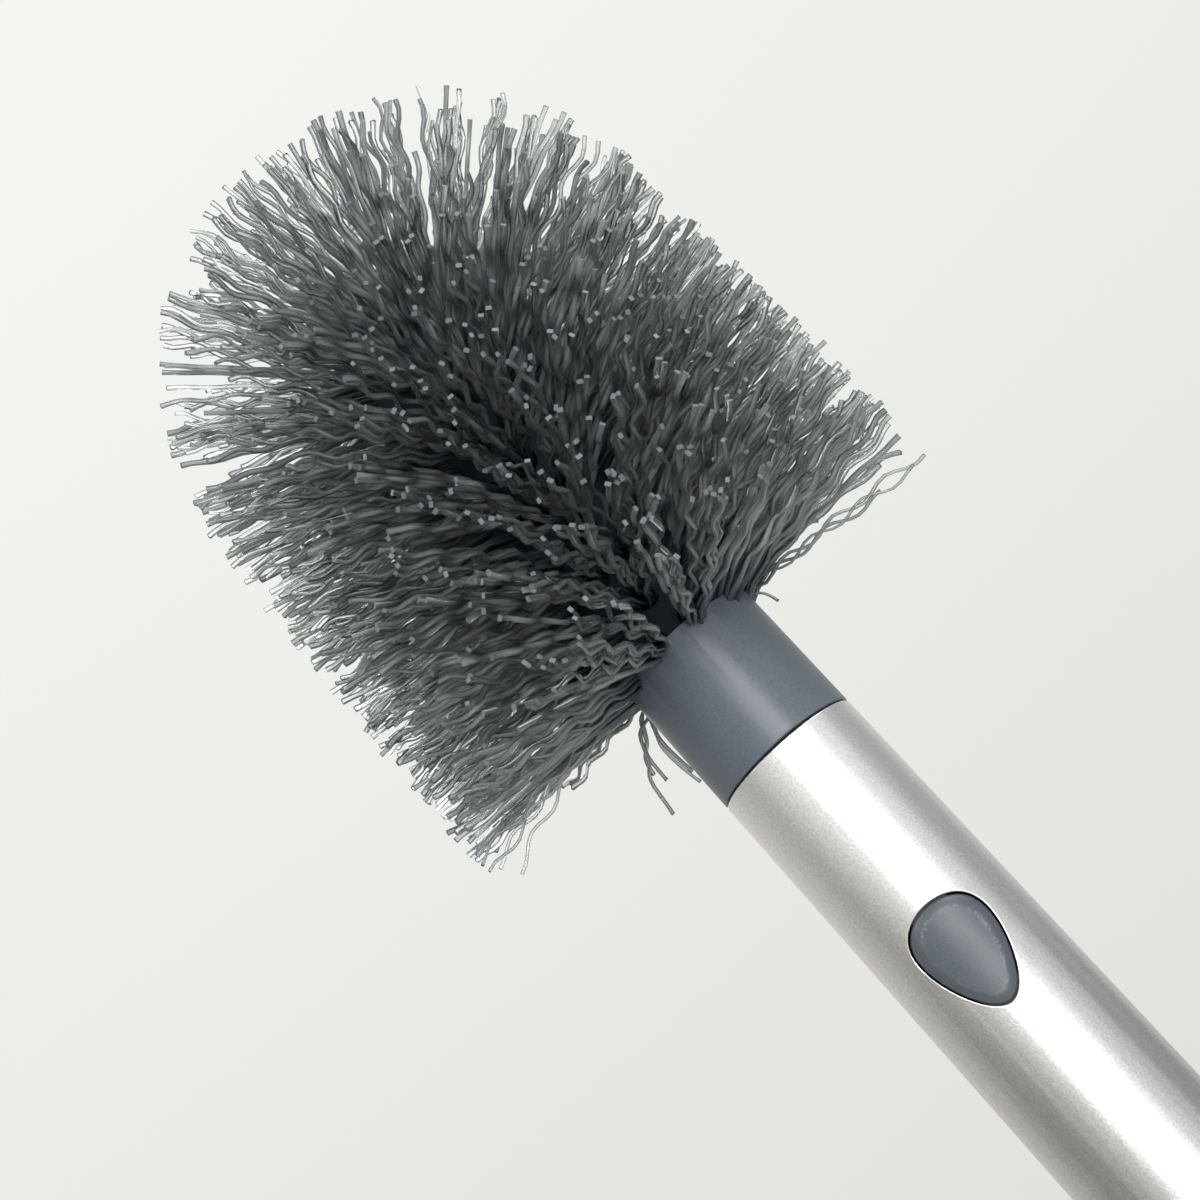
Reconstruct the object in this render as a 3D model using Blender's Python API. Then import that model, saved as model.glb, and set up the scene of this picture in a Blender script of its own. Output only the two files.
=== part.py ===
"""Toilet brush: a tube handle whose push button frees a replaceable bristle head.

The axis is +Z, from the flat end of the handle to the tips of the bristles. The button faces -Y.
"""

import math

import bmesh
import bpy
from mathutils import Matrix, Vector

MM = 0.001

# Clearances
SEAT_GAP = 0.3 * MM  # between pieces that touch
SLIDE_GAP = 0.3 * MM  # round a piece that slides
BARB_GAP = 0.4 * MM  # between the resting stem and the barb
RELEASE_MARGIN = 0.1 * MM  # how far the pressed stem takes the barb past the socket's flat

# Tube
TUBE_RADIUS = 11.0 * MM
TUBE_WALL = 1.0 * MM
TUBE_LENGTH = 247.4 * MM
TUBE_EDGE = 0.25 * MM

# End cap
CAP_HEIGHT = 14.0 * MM
CAP_FILLET = 1.5 * MM
CAP_FLOOR = 3.0 * MM
PLUG_LENGTH = 18.0 * MM
PLUG_WALL = 1.8 * MM
PLUG_LEAD_IN = 0.8 * MM
PLUG_SLOT_WIDTH = 2.6 * MM
PLUG_SLOT_DEPTH = 12.0 * MM

# Button
BUTTON_LENGTH = 14.9 * MM
BUTTON_WIDTH = 11.0 * MM
BUTTON_TAPER = 0.33  # 0 would be an ellipse; more narrows the end towards the hand
BUTTON_FROM_MOUTH = 35.25 * MM
BUTTON_PROUD = 0.2 * MM
BUTTON_DEPTH = 3.0 * MM  # from the tube's outer surface to the button's flat back
BUTTON_TRAVEL = 1.8 * MM
BUTTON_EDGE = 0.8 * MM
FACE_RINGS = (0.5, 0.1)  # outlines across the crowned face, as shares of its size
LIP_REACH = 1.6 * MM
LIP_WIDTH = 5.6 * MM
STEM_WIDTH = 4.2 * MM
STEM_HEIGHT = 2.7 * MM

# Socket in the tube's mouth
SOCKET_WALL = 1.75 * MM
SOCKET_WEB = 1.1 * MM  # between the button's pocket and the bore's flat
SOCKET_FLOOR = 2.0 * MM
SOCKET_LEAD_IN = 0.8 * MM
RELIEF_WIDTH = 5.0 * MM
RELIEF_LENGTH = 14.0 * MM

# Spigot and its latch
SPIGOT_TOE = 2.7 * MM  # solid end below the latch's pocket
SPIGOT_SEAT = 8.0 * MM
SPIGOT_LEAD_IN = 1.6 * MM
LATCH_WIDTH = 4.6 * MM
LATCH_THICKNESS = 0.5 * MM
LATCH_LEG = 18.5 * MM
LATCH_BEND = 1.8 * MM
LATCH_BACK = 2.0 * MM  # from the axis back to the fixed leg
LATCH_REST = 1.1 * MM  # from the spigot's flat in to the free leg
BARB_FLAT = 1.4 * MM
BARB_RAMP = 2.7 * MM
BARB_TAIL = 4.2 * MM

# Collar and core
COLLAR_LENGTH = 17.2 * MM
COLLAR_EDGE = 0.3 * MM
CORE_RADIUS = 6.8 * MM
CORE_SIDES = 8

# Bristles
ROWS = 9
ROW_PITCH = 6.6 * MM
TUFTS_PER_ROW = 10
FIRST_TUFT_TURN = math.radians(18)  # from -Y
HEAD_RADIUS = 42.0 * MM
BACK_LEAN = 4.2 * MM  # how far the first row's tips lean back over the collar
FRONT_LEAN = 2.5 * MM  # how far the last row's tips lean towards the nose
STRAND_RADIUS = 0.85 * MM
STRAND_FAN = math.radians(11.5)
STRAND_RISE = 2.4 * MM
STRAND_DROP = 0.8 * MM
CRIMP = 0.7 * MM
STATIONS = (0.05, 0.37, 0.68, 1.0)  # shares of a strand's length where it bends
NOSE_ROOT_INSET = 1.3 * MM

# Steps round a full turn, and along the small arcs
ROUND_STEPS = 64
HIDDEN_STEPS = 40
EGG_STEPS = 40
FILLET_STEPS = 4
EDGE_STEPS = 3
BEND_STEPS = 6
SHARP_ANGLE = math.radians(35)
WELD = 0.001 * MM

# Sizes that follow
TUBE_INSIDE = TUBE_RADIUS - TUBE_WALL
SEATED_RADIUS = TUBE_INSIDE - SEAT_GAP
TUBE_BOTTOM = CAP_HEIGHT + SEAT_GAP
TUBE_TOP = TUBE_BOTTOM + TUBE_LENGTH
COLLAR_BOTTOM = TUBE_TOP + SEAT_GAP
COLLAR_TOP = COLLAR_BOTTOM + COLLAR_LENGTH

BUTTON_Z = TUBE_TOP - BUTTON_FROM_MOUTH
BUTTON_BACK = TUBE_RADIUS - BUTTON_DEPTH
POCKET_FLOOR = BUTTON_BACK - BUTTON_TRAVEL - SEAT_GAP
SOCKET_FLAT = POCKET_FLOOR - SOCKET_WEB
SOCKET_BORE = SEATED_RADIUS - SOCKET_WALL
STEM_END = SOCKET_FLAT - RELEASE_MARGIN + BUTTON_TRAVEL
BARB_TOP = STEM_END - BARB_GAP

SPIGOT_RADIUS = SOCKET_BORE - SLIDE_GAP
SPIGOT_FLAT = SOCKET_FLAT - SLIDE_GAP
BARB_FACE = BARB_FLAT / 2 + LATCH_THICKNESS  # above the button's middle, as the next four
CATCH_TOP = BARB_FACE + SEAT_GAP
STEM_BOTTOM = BARB_FACE - STEM_HEIGHT
CATCH_BOTTOM = STEM_BOTTOM - BARB_RAMP / 2
POCKET_BOTTOM = -LATCH_LEG / 2 - LATCH_BEND - LATCH_THICKNESS / 2 - SEAT_GAP
SPIGOT_REACH = COLLAR_BOTTOM - BUTTON_Z - POCKET_BOTTOM + SPIGOT_TOE
SOCKET_DEPTH = SPIGOT_REACH + SEAT_GAP

CORE_BOTTOM = COLLAR_BOTTOM + SPIGOT_SEAT + SEAT_GAP
FIRST_SLICE = COLLAR_TOP + SEAT_GAP
SLICE_HEIGHT = ROW_PITCH - SEAT_GAP
NOSE_Z = FIRST_SLICE + ROWS * ROW_PITCH
CORE_TOP = NOSE_Z - SEAT_GAP

# Name, colour, roughness, metallic
SLATE = ("slate_plastic", (0.095, 0.125, 0.145, 1.0), 0.45, 0.0)
DARK = ("dark_plastic", (0.03, 0.034, 0.038, 1.0), 0.5, 0.0)
METAL = ("satin_aluminium", (0.72, 0.71, 0.69, 1.0), 0.32, 1.0)
STEEL = ("spring_steel", (0.62, 0.62, 0.64, 1.0), 0.25, 1.0)
FILAMENT = ("filament", (0.085, 0.1, 0.105, 1.0), 0.4, 0.0)


def clear_scene():
    for obj in list(bpy.data.objects):
        bpy.data.objects.remove(obj, do_unlink=True)


def material_of(look):
    name, colour, roughness, metallic = look
    material = bpy.data.materials.get(name) or bpy.data.materials.new(name)
    material.use_nodes = True
    shader = material.node_tree.nodes["Principled BSDF"]
    shader.inputs["Base Color"].default_value = colour
    shader.inputs["Roughness"].default_value = roughness
    shader.inputs["Metallic"].default_value = metallic
    return material


def add_object(name, bm, place, look=None, parent=None):
    """One object with its origin at a place. Without a look it is a hidden cutter or guide."""
    bmesh.ops.recalc_face_normals(bm, faces=bm.faces)
    mesh = bpy.data.meshes.new(name)
    bm.to_mesh(mesh)
    bm.free()
    mesh.shade_smooth()
    mesh.set_sharp_from_angle(angle=SHARP_ANGLE)
    obj = bpy.data.objects.new(name, mesh)
    bpy.context.scene.collection.objects.link(obj)
    obj.location = place
    if parent:
        obj.parent = parent
        obj.location -= parent.location
    if look:
        mesh.materials.append(material_of(look))
    else:
        obj.hide_render = True
        obj.display_type = "WIRE"
    return obj


def add_joint_frame(name, place):
    """An empty on a joint's axis, which carries the pieces that move on it."""
    frame = bpy.data.objects.new(name, None)
    bpy.context.scene.collection.objects.link(frame)
    frame.location = place
    return frame


def combine(obj, other, operation):
    modifier = obj.modifiers.new(f"{operation.lower()} {other.name}", "BOOLEAN")
    modifier.operation = operation
    modifier.solver = "EXACT"
    modifier.object = other


def only(items, kind):
    return [item for item in items if isinstance(item, kind)]


def revolved(profile, steps=ROUND_STEPS):
    """A body turned round Z from a profile of (radius, height) corners that starts and ends on Z.

    It starts half a step round, so that its facets lie evenly about the plane x = 0.
    """
    bm = bmesh.new()
    start = Matrix.Rotation(math.pi / steps, 3, "Z")
    corners = [bm.verts.new(start @ Vector((radius, 0, height))) for radius, height in profile]
    edges = [bm.edges.new(pair) for pair in zip(corners, corners[1:])]
    bmesh.ops.spin(
        bm, geom=corners + edges, cent=(0, 0, 0), axis=(0, 0, 1),
        angle=2 * math.pi, steps=steps, use_merge=True,
    )
    bmesh.ops.remove_doubles(bm, verts=bm.verts, dist=WELD)
    return bm


def block(low, high):
    """A box between two corners."""
    low, high = Vector(low), Vector(high)
    size = Matrix.Diagonal((*(high - low), 1))
    bm = bmesh.new()
    bmesh.ops.create_cube(bm, size=1, matrix=Matrix.Translation((low + high) / 2) @ size)
    return bm


def loop_of(bm, points):
    corners = [bm.verts.new(point) for point in points]
    return [bm.edges.new(pair) for pair in zip(corners, corners[1:] + corners[:1])]


def lofted(outlines):
    """A closed body through a row of outlines, with both ends filled."""
    bm = bmesh.new()
    loops = [loop_of(bm, points) for points in outlines]
    for near, far in zip(loops, loops[1:]):
        bmesh.ops.bridge_loops(bm, edges=near + far)
    for end in (loops[0], loops[-1]):
        bmesh.ops.contextual_create(bm, geom=end)
    return bm


def cut_flat(bm, flat):
    """Take off what lies beyond the plane y = -flat, and close the cut."""
    cut = bmesh.ops.bisect_plane(
        bm, geom=bm.verts[:] + bm.edges[:] + bm.faces[:], dist=WELD,
        plane_co=(0, -flat, 0), plane_no=(0, -1, 0), clear_outer=True,
    )
    bmesh.ops.contextual_create(bm, geom=only(cut["geom_cut"], bmesh.types.BMEdge))
    return bm


def polygon(radius, sides, height, turn=0.0):
    """Corners of a regular polygon round Z, with one side square to the turn from -Y."""
    step = 2 * math.pi / sides
    angles = [turn + step * (side + 0.5) for side in range(sides)]
    return [(radius * math.sin(angle), -radius * math.cos(angle), height) for angle in angles]


def egg_outline(grow=0.0, share=1.0):
    """Points (x, z) of the button's outline round its middle, with the broad end up."""
    side = (BUTTON_WIDTH / 2 + grow) * math.sqrt(1 - BUTTON_TAPER**2) * share
    half_length = (BUTTON_LENGTH / 2 + grow) * share
    points = []
    for step in range(EGG_STEPS):
        turn = 2 * math.pi * step / EGG_STEPS
        across = side * math.sin(turn) / (1 - BUTTON_TAPER * math.cos(turn))
        points.append((across, half_length * math.cos(turn)))
    return points


def egg_prism(grow, near, far):
    """The button's outline, grown all round, as a prism from y = -near out to y = -far."""
    return lofted([[(x, -y, z) for x, z in egg_outline(grow)] for y in (near, far)])


def make_end_cap():
    """A flat foot under the tube, and a split plug inside it."""
    plug_top = CAP_HEIGHT + PLUG_LENGTH
    plug_inside = SEATED_RADIUS - PLUG_WALL
    fillet_centre = TUBE_RADIUS - CAP_FILLET
    fillet = []
    for step in range(FILLET_STEPS + 1):
        angle = math.pi / 2 * step / FILLET_STEPS
        radius = fillet_centre + CAP_FILLET * math.sin(angle)
        fillet.append((radius, CAP_FILLET * (1 - math.cos(angle))))
    profile = [
        (0, 0),
        *fillet,
        (TUBE_RADIUS, CAP_HEIGHT - TUBE_EDGE),
        (TUBE_RADIUS - TUBE_EDGE, CAP_HEIGHT),
        (SEATED_RADIUS, CAP_HEIGHT),
        (SEATED_RADIUS, plug_top - PLUG_LEAD_IN),
        (SEATED_RADIUS - PLUG_LEAD_IN, plug_top),
        (plug_inside, plug_top),
        (plug_inside, CAP_FLOOR),
        (0, CAP_FLOOR),
    ]
    cap = add_object("end_cap", revolved(profile), (0, 0, 0), SLATE)
    half, reach = PLUG_SLOT_WIDTH / 2, TUBE_RADIUS
    for name, side_x, side_y in (("slot_along_x", reach, half), ("slot_along_y", half, reach)):
        slot = block((-side_x, -side_y, -PLUG_SLOT_DEPTH), (side_x, side_y, SEAT_GAP))
        combine(cap, add_object(name, slot, (0, 0, plug_top)), "DIFFERENCE")


def make_tube():
    """A drawn tube with broken edges, and the button's hole near its mouth."""
    outer = [
        (0, 0),
        (TUBE_RADIUS - TUBE_EDGE, 0),
        (TUBE_RADIUS, TUBE_EDGE),
        (TUBE_RADIUS, TUBE_LENGTH - TUBE_EDGE),
        (TUBE_RADIUS - TUBE_EDGE, TUBE_LENGTH),
        (0, TUBE_LENGTH),
    ]
    inner = [(0, -TUBE_WALL), (TUBE_INSIDE, -TUBE_WALL)]
    inner += [(radius, TUBE_LENGTH - height) for radius, height in reversed(inner)]
    tube = add_object("handle_tube", revolved(outer), (0, 0, TUBE_BOTTOM), METAL)
    combine(tube, add_object("tube_bore", revolved(inner), (0, 0, TUBE_BOTTOM)), "DIFFERENCE")
    hole = egg_prism(SLIDE_GAP, 0, TUBE_RADIUS + TUBE_WALL)
    combine(tube, add_object("button_hole", hole, (0, 0, BUTTON_Z)), "DIFFERENCE")


def make_socket():
    """The liner in the tube's mouth: a bore with one flat, the button's pocket and the catch."""
    length = SOCKET_DEPTH + SOCKET_FLOOR
    profile = [
        (0, -length),
        (SEATED_RADIUS - PLUG_LEAD_IN, -length),
        (SEATED_RADIUS, PLUG_LEAD_IN - length),
        (SEATED_RADIUS, 0),
        (0, 0),
    ]
    bore = [
        (0, -SOCKET_DEPTH),
        (SOCKET_BORE, -SOCKET_DEPTH),
        (SOCKET_BORE, -SOCKET_LEAD_IN),
        (SOCKET_BORE + SOCKET_LEAD_IN, 0),
        (SOCKET_BORE + SOCKET_LEAD_IN, SEAT_GAP),
        (0, SEAT_GAP),
    ]
    mouth, level = (0, 0, TUBE_TOP), (0, 0, BUTTON_Z)
    liner = add_object("socket_liner", revolved(profile, HIDDEN_STEPS), mouth, DARK)

    bore_cutter = cut_flat(revolved(bore, HIDDEN_STEPS), SOCKET_FLAT)
    combine(liner, add_object("socket_bore", bore_cutter, mouth), "DIFFERENCE")

    pocket = egg_prism(SLIDE_GAP, POCKET_FLOOR, TUBE_RADIUS)
    combine(liner, add_object("button_pocket", pocket, level), "DIFFERENCE")

    lip_side = LIP_WIDTH / 2 + SLIDE_GAP
    lip_end = BUTTON_LENGTH / 2 + LIP_REACH + SLIDE_GAP
    lips = block((-lip_side, -TUBE_RADIUS, -lip_end), (lip_side, -POCKET_FLOOR, lip_end))
    combine(liner, add_object("lip_pocket", lips, level), "DIFFERENCE")

    catch_side = LATCH_WIDTH / 2 + SLIDE_GAP
    catch = block((-catch_side, -TUBE_RADIUS, CATCH_BOTTOM), (catch_side, 0, CATCH_TOP))
    combine(liner, add_object("catch_hole", catch, level), "DIFFERENCE")

    relief_low = lip_end + SOCKET_WEB
    relief = block(
        (-RELIEF_WIDTH / 2, -TUBE_RADIUS, relief_low),
        (RELIEF_WIDTH / 2, -POCKET_FLOOR, relief_low + RELIEF_LENGTH),
    )
    combine(liner, add_object("moulding_relief", relief, level), "DIFFERENCE")


def make_button():
    """The egg-shaped cap with a crowned face, its lips behind the tube's wall, and its stem."""
    frame = add_joint_frame("button_press", (0, -TUBE_RADIUS, BUTTON_Z))
    level = (0, 0, BUTTON_Z)
    crown = TUBE_RADIUS + BUTTON_PROUD

    def crowned(share, drop):
        """The outline at a share of its size, laid on the crown and let down by a drop."""
        outline = egg_outline(share=share)
        return [(x, drop - math.sqrt(crown**2 - x**2), z) for x, z in outline]

    outlines = [[(x, -BUTTON_BACK, z) for x, z in egg_outline()]]
    for step in range(EDGE_STEPS + 1):
        angle = math.pi / 2 * step / EDGE_STEPS
        inset = BUTTON_EDGE * (1 - math.cos(angle))
        outlines.append(crowned(1 - 2 * inset / BUTTON_WIDTH, BUTTON_EDGE * (1 - math.sin(angle))))
    outlines += [crowned(share, 0) for share in FACE_RINGS]
    button = add_object("release_button", lofted(outlines), level, SLATE, frame)

    lip_end = BUTTON_LENGTH / 2 + LIP_REACH
    lip_box = block(
        (-LIP_WIDTH / 2, -TUBE_RADIUS, -lip_end), (LIP_WIDTH / 2, -BUTTON_BACK, lip_end)
    )
    lips = add_object("button_lips", lip_box, level)
    inside = [(0, -BUTTON_LENGTH), (SEATED_RADIUS, -BUTTON_LENGTH)]
    inside += [(radius, -height) for radius, height in reversed(inside)]
    combine(lips, add_object("tube_inside", revolved(inside), level), "INTERSECT")
    combine(button, lips, "UNION")

    root = BUTTON_BACK + SEAT_GAP
    stem = block((-STEM_WIDTH / 2, -root, STEM_BOTTOM), (STEM_WIDTH / 2, -STEM_END, BARB_FACE))
    combine(button, add_object("button_stem", stem, level), "UNION")


def latch_line():
    """The leaf spring's middle line, (y, z) from the button's middle: back leg, bend, barb, tail."""
    half = LATCH_THICKNESS / 2
    bottom = -LATCH_LEG / 2
    line = [(LATCH_BACK, LATCH_LEG / 2), (LATCH_BACK, bottom)]
    for step in range(1, BEND_STEPS + 1):
        angle = math.pi * step / BEND_STEPS
        y = LATCH_BACK - LATCH_BEND * (1 - math.cos(angle))
        line.append((y, bottom - LATCH_BEND * math.sin(angle)))
    leg = LATCH_REST - SPIGOT_FLAT
    top = half - BARB_TOP
    line += [
        (leg, -BARB_FLAT / 2 - BARB_RAMP),
        (top, -BARB_FLAT / 2),
        (top, BARB_FLAT / 2),
        (leg, BARB_FLAT / 2 + half),
        (leg + half, BARB_FLAT / 2 + BARB_TAIL),
    ]
    return line


def make_latch(frame):
    """A bent leaf in the spigot, whose barb stands out through the socket's catch."""
    bm = bmesh.new()
    corners = [bm.verts.new((-LATCH_WIDTH / 2, y, z)) for y, z in latch_line()]
    edges = [bm.edges.new(pair) for pair in zip(corners, corners[1:])]
    across = bmesh.ops.extrude_edge_only(bm, edges=edges)["geom"]
    bmesh.ops.translate(bm, verts=only(across, bmesh.types.BMVert), vec=(LATCH_WIDTH, 0, 0))
    latch = add_object("latch_spring", bm, (0, 0, BUTTON_Z), STEEL, frame)
    leaf = latch.modifiers.new("leaf", "SOLIDIFY")
    leaf.thickness = LATCH_THICKNESS
    leaf.offset = 0
    leaf.use_even_offset = True


def make_spigot(frame):
    """The head's shank: a rod with one flat, and the pocket that holds the latch."""
    profile = [
        (0, -SPIGOT_REACH),
        (SPIGOT_RADIUS - SPIGOT_LEAD_IN, -SPIGOT_REACH),
        (SPIGOT_RADIUS, 2 * SPIGOT_LEAD_IN - SPIGOT_REACH),
        (SPIGOT_RADIUS, SPIGOT_SEAT),
        (0, SPIGOT_SEAT),
    ]
    rod = cut_flat(revolved(profile, HIDDEN_STEPS), SPIGOT_FLAT)
    spigot = add_object("spigot", rod, (0, 0, COLLAR_BOTTOM), DARK, frame)
    side = LATCH_WIDTH / 2 + SEAT_GAP
    back = LATCH_BACK + LATCH_THICKNESS / 2 + SEAT_GAP
    top = LATCH_LEG / 2 + SEAT_GAP
    pocket = block((-side, -TUBE_RADIUS, POCKET_BOTTOM), (side, back, top))
    combine(spigot, add_object("latch_pocket", pocket, (0, 0, BUTTON_Z)), "DIFFERENCE")


def make_collar(frame):
    """The sleeve flush with the tube, seated over the spigot below and the core above."""
    profile = [
        (0, SPIGOT_SEAT + SEAT_GAP),
        (SOCKET_BORE, SPIGOT_SEAT + SEAT_GAP),
        (SOCKET_BORE, 0),
        (TUBE_RADIUS - COLLAR_EDGE, 0),
        (TUBE_RADIUS, COLLAR_EDGE),
        (TUBE_RADIUS, COLLAR_LENGTH - COLLAR_EDGE),
        (TUBE_RADIUS - COLLAR_EDGE, COLLAR_LENGTH),
        (0, COLLAR_LENGTH),
    ]
    collar = add_object("collar", revolved(profile), (0, 0, COLLAR_BOTTOM), SLATE, frame)
    radius = CORE_RADIUS + SEAT_GAP
    bore = lofted([polygon(radius, CORE_SIDES, z) for z in (SPIGOT_SEAT, COLLAR_LENGTH + SEAT_GAP)])
    combine(collar, add_object("core_bore", bore, (0, 0, COLLAR_BOTTOM)), "DIFFERENCE")


def make_core(frame):
    """The keyed spindle that the rows of bristles sit on."""
    length = CORE_TOP - CORE_BOTTOM
    spindle = lofted([polygon(CORE_RADIUS, CORE_SIDES, z) for z in (0, length)])
    add_object("brush_core", spindle, (0, 0, CORE_BOTTOM), DARK, frame)


def grow_strand(bm, face, tip, side):
    """Draw one small face out into a crimped strand that ends at the tip."""
    root = face.calc_center_median()
    for index, share in enumerate(STATIONS):
        face = bmesh.ops.extrude_discrete_faces(bm, faces=[face])["faces"][0]
        middle = face.calc_center_median()
        bend = CRIMP * (-1) ** index if share < 1 else 0
        target = root.lerp(tip, share) + side * bend
        for corner in face.verts:
            corner.co = target + (corner.co - middle).normalized() * STRAND_RADIUS


def make_row(index, frame):
    """One slice of the core with a ring of tufts, turned half a step from the slice below."""
    facets = 2 * TUFTS_PER_ROW
    step = 2 * math.pi / facets
    turn = FIRST_TUFT_TURN + step * (index % 2)
    half = SLICE_HEIGHT / 2
    bm = bmesh.new()
    outer = [loop_of(bm, polygon(TUBE_RADIUS, facets, z, turn)) for z in (-half, half)]
    inner_radius = CORE_RADIUS + SEAT_GAP
    inner = [loop_of(bm, polygon(inner_radius, CORE_SIDES, z)) for z in (-half, half)]
    wall = bmesh.ops.bridge_loops(bm, edges=outer[0] + outer[1])["faces"]
    bmesh.ops.bridge_loops(bm, edges=inner[0] + inner[1])
    for rim, bore in zip(outer, inner):
        bmesh.ops.triangle_fill(bm, edges=rim + bore, use_beauty=True)

    tufts = []
    for face in wall:
        middle = face.calc_center_median()
        angle = math.atan2(middle.x, -middle.y)
        if round((angle - turn) / step) % 2 == 0:
            tufts.append((face, angle))
    share = index / max(ROWS - 1, 1)
    lean = share * FRONT_LEAN - (1 - share) * BACK_LEAN
    for face, angle in tufts:
        side = Vector((math.cos(angle), math.sin(angle), 0))
        for root in bmesh.ops.poke(bm, faces=[face])["faces"]:
            middle = root.calc_center_median()
            offset = middle.dot(side)
            if abs(middle.z) < abs(offset):
                aim, level = angle + math.copysign(STRAND_FAN, offset), lean - STRAND_DROP
            elif middle.z > 0:
                aim, level = angle, lean + STRAND_RISE
            else:
                continue
            tip = Vector((HEAD_RADIUS * math.sin(aim), -HEAD_RADIUS * math.cos(aim), level))
            grow_strand(bm, root, tip, side)
    place = (0, 0, FIRST_SLICE + index * ROW_PITCH + half)
    add_object(f"bristle_row_{index + 1}", bm, place, FILAMENT, frame)


def make_nose(frame):
    """The domed end of the core, with a strand on each facet."""
    bm = bmesh.new()
    bmesh.ops.create_icosphere(bm, subdivisions=2, radius=TUBE_RADIUS)
    lower = [face for face in bm.faces if face.calc_center_median().z < 0]
    bmesh.ops.delete(bm, geom=lower, context="FACES")
    roots = bm.faces[:]
    bmesh.ops.contextual_create(bm, geom=[edge for edge in bm.edges if edge.is_boundary])
    bmesh.ops.inset_individual(bm, faces=roots, thickness=NOSE_ROOT_INSET)
    for root in roots:
        outward = root.calc_center_median().normalized()
        side = Vector((-outward.y, outward.x, 0)).normalized()
        grow_strand(bm, root, outward * HEAD_RADIUS, side)
    add_object("bristle_nose", bm, (0, 0, NOSE_Z), FILAMENT, frame)


def main():
    clear_scene()
    make_end_cap()
    make_tube()
    make_socket()
    make_button()
    head = add_joint_frame("head_pull", (0, 0, COLLAR_BOTTOM))
    make_spigot(head)
    make_latch(head)
    make_collar(head)
    make_core(head)
    for index in range(ROWS):
        make_row(index, head)
    make_nose(head)


main()
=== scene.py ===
"""Looks of a toilet brush: a satin tube, moulded plastic pieces and a dense head of crimped filaments.

Everything is in metres. The axis is +Z, the head is up and the release button faces -Y.
"""

import math

import bmesh
import bpy
import numpy as np
from mathutils import Matrix, Vector


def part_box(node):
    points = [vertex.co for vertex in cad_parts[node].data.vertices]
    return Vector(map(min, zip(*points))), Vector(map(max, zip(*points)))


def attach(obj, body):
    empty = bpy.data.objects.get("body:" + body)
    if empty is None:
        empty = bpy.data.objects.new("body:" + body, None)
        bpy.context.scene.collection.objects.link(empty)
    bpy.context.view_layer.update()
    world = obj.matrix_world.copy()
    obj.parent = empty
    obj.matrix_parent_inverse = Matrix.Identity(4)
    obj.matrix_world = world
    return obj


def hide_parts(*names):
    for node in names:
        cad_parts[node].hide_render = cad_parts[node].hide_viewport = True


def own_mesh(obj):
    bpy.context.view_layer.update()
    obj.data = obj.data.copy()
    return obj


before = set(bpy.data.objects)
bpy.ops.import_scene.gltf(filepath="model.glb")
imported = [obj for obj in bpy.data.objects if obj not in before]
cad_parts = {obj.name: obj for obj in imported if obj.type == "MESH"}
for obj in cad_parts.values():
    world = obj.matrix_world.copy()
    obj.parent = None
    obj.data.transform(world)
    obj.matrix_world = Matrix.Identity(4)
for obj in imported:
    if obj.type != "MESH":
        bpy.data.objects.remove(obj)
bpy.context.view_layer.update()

MM = 0.001

# Places read from the frame
TUBE_LOW, TUBE_TOP = (corner.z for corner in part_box("handle_tube"))
COLLAR_LOW, COLLAR_HIGH = (corner.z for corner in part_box("collar"))
CAP_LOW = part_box("end_cap")[0].z
NOSE_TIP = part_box("bristle_nose")[1].z
BUTTON_LOW, BUTTON_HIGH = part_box("release_button")
SHANK_RADIUS, SHANK_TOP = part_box("spigot")[1].x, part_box("spigot")[1].z

# Tube and end cap
TUBE_RADIUS = 11.0 * MM
TUBE_WALL = 1.0 * MM
TUBE_EDGE = 0.25 * MM
SEAM_GAP = 0.3 * MM
CAP_FILLET = 1.5 * MM
CAP_EDGE = 0.3 * MM
CAP_WALL = 2.2 * MM
CAP_FLOOR = 3.0 * MM
CAP_PLUG = 18.0 * MM  # how far the cap's plug stands in the tube

# Release button
BUTTON_LENGTH = 14.9 * MM
BUTTON_WIDTH = 11.0 * MM
BUTTON_TAPER = 0.33
BUTTON_CROWN = -BUTTON_LOW.y
BUTTON_Z = (BUTTON_LOW.z + BUTTON_HIGH.z) / 2
BUTTON_SKIRT = 3.2 * MM
BUTTON_HOLE_GAP = 0.22 * MM
BUTTON_HOLE_EDGE = 0.24 * MM
HOLE_BAND = 8.2 * MM  # half the length of the band of the tube that holds the hole
BUTTON_RIM = (  # (in from the outline, down from the crown), in mm
    (0.00, 0.84),
    (0.05, 0.62),
    (0.18, 0.44),
    (0.42, 0.31),
    (0.78, 0.17),
    (1.12, 0.06),
    (1.28, 0.02),
    (1.44, 0.00),
)
FACE_INSETS = (1.9, 2.7, 3.6, 4.5)  # in mm
WEAR_INSET = 1.36  # the middle of the worn line, in mm
WEAR_HALF = 0.34  # half its width, in mm
RIM_FADE = 0.4  # over how many mm the rim's painted shade fades into the face's tone
WEAR_AND_SHADE_TURN = math.radians(25)  # the thumb rubs the broad end and one side most, and the rim's painted shade is strongest on the same side
WEAR_AND_SHADE_LEAST = 0.2  # the share of wear, and of the rim's painted shade, on the side that the thumb spares
LIP_REACH = 1.6 * MM
LIP_WIDTH = 5.6 * MM
STEM_WIDTH = 4.2 * MM
STEM_LOW, STEM_HIGH = -1.5 * MM, 1.2 * MM

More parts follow.
